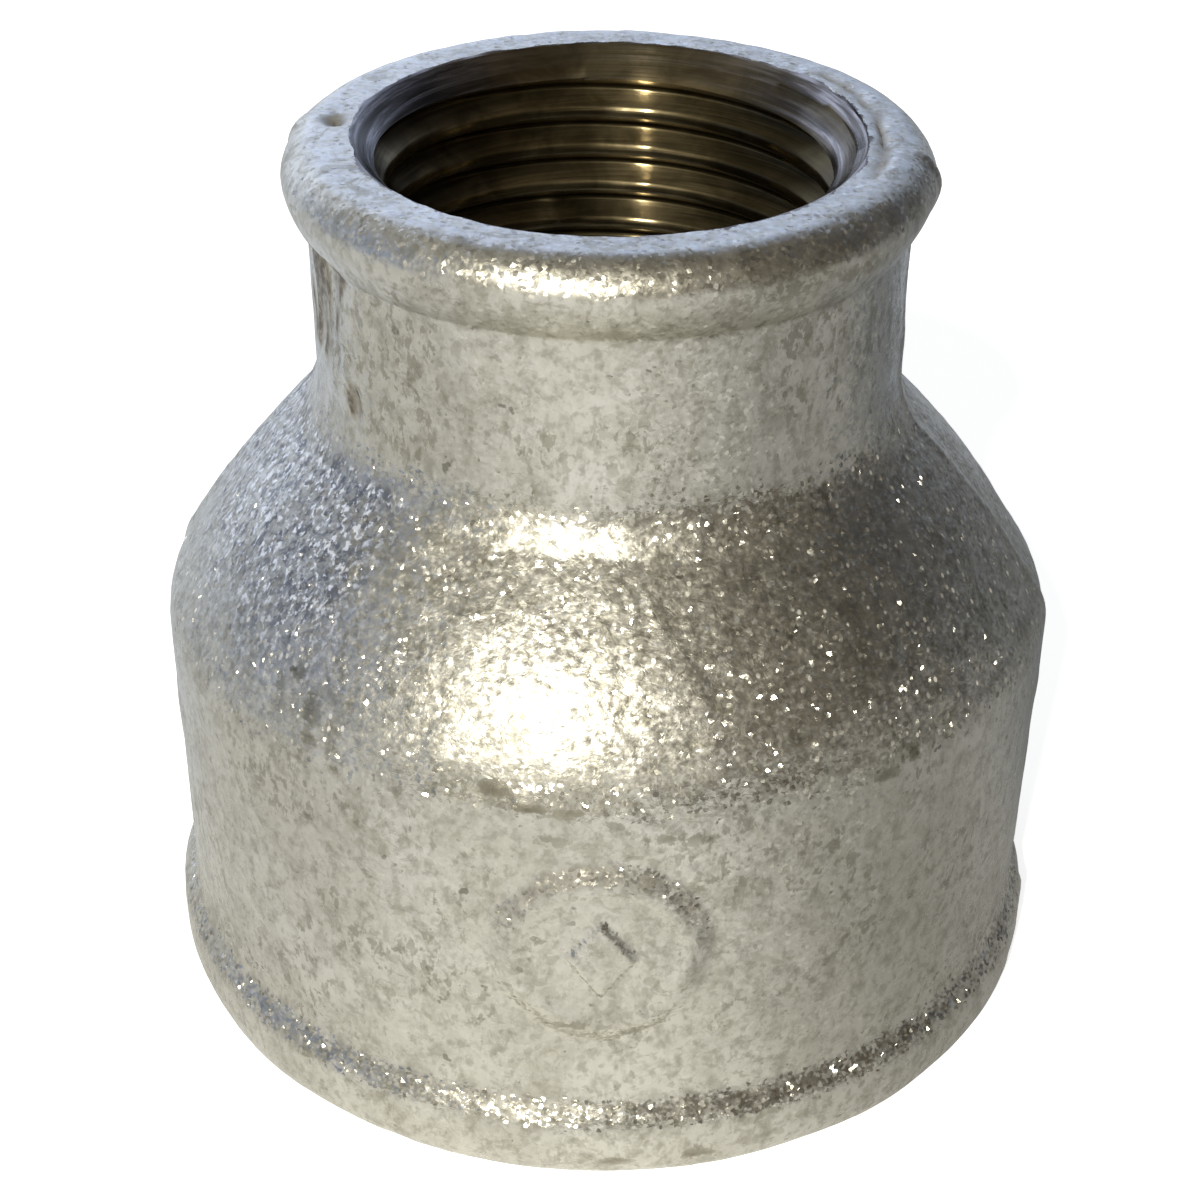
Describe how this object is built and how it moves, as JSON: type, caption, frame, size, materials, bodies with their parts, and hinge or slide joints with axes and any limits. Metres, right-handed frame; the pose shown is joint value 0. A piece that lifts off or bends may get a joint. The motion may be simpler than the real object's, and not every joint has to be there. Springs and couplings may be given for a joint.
{
  "type": "concentric reducer",
  "caption": "Banded reducing socket with female pipe threads in both ends, joining a large pipe to a smaller one on the same axis.",
  "frame": {"origin": "centre of the large end face, on the common axis of both bores", "axes": "+Z along the common axis, towards the small end; the raised ring is on the -Y side"},
  "size_m": [0.0414, 0.0414, 0.0405],
  "materials": {
    "galvanised_iron": "hot-dip galvanised casting, satin grey zinc outside; bare machined iron in the threads"
  },
  "bodies": {
    "root": {"reducer_casting": "galvanised_iron"}
  },
  "joints": []
}
